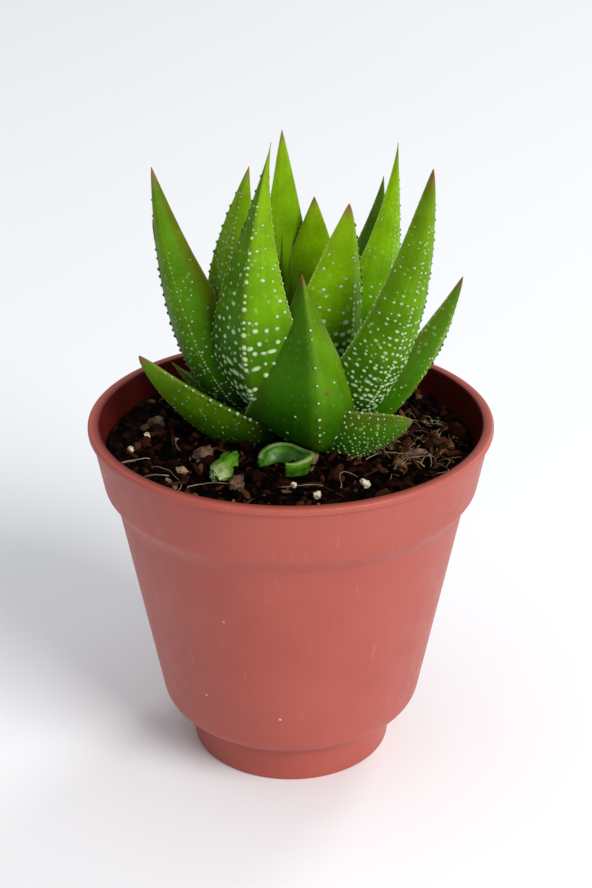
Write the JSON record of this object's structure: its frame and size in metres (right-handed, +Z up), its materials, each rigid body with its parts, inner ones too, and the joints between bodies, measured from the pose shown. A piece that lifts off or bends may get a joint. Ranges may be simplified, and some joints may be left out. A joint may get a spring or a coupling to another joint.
{
  "type": "potted haworthia",
  "caption": "Small succulent rosette of pointed keeled leaves with white tubercles, growing in soil in a round tapered plastic nursery pot with a collared rim.",
  "frame": {"origin": "centre of the pot's foot ring, on the surface the pot stands on", "axes": "+Z up out of the pot; -Y is the side seen from the front, +X to its right"},
  "size_m": [0.055, 0.055, 0.0884],
  "materials": {
    "pot_plastic": "satin moulded terracotta-coloured plastic with fine scuffs",
    "soil": "damp crumbly peat and bark potting mix",
    "stem_pith": "dull fibrous stem",
    "leaf_skin": "waxy green leaf skin with raised pale tubercles and reddish tips",
    "leaf_scrap": "withered green leaf",
    "bark": "rough composted bark",
    "perlite": "chalky porous mineral grain"
  },
  "bodies": {
    "root": {"pot": "pot_plastic", "soil": "soil", "stem": "stem_pith", "leaf_01": "leaf_skin", "leaf_02": "leaf_skin", "leaf_03": "leaf_skin", "leaf_04": "leaf_skin", "leaf_05": "leaf_skin", "leaf_06": "leaf_skin", "leaf_07": "leaf_skin", "leaf_08": "leaf_skin", "leaf_09": "leaf_skin", "leaf_10": "leaf_skin", "leaf_11": "leaf_skin", "leaf_12": "leaf_skin", "leaf_13": "leaf_skin", "leaf_14": "leaf_skin", "leaf_15": "leaf_skin", "leaf_16": "leaf_skin", "leaf_17": "leaf_skin", "leaf_18": "leaf_skin", "leaf_19": "leaf_skin", "leaf_20": "leaf_skin", "leaf_21": "leaf_skin", "leaf_22": "leaf_skin", "curled_leaf_scrap": "leaf_scrap", "cut_leaf_scrap": "leaf_scrap", "bark_chip_1": "bark", "bark_chip_2": "bark", "bark_chip_3": "bark", "bark_chip_4": "bark", "perlite_grain_1": "perlite", "perlite_grain_2": "perlite", "perlite_grain_3": "perlite", "perlite_grain_4": "perlite", "perlite_grain_5": "perlite", "perlite_grain_6": "perlite"}
  },
  "joints": []
}
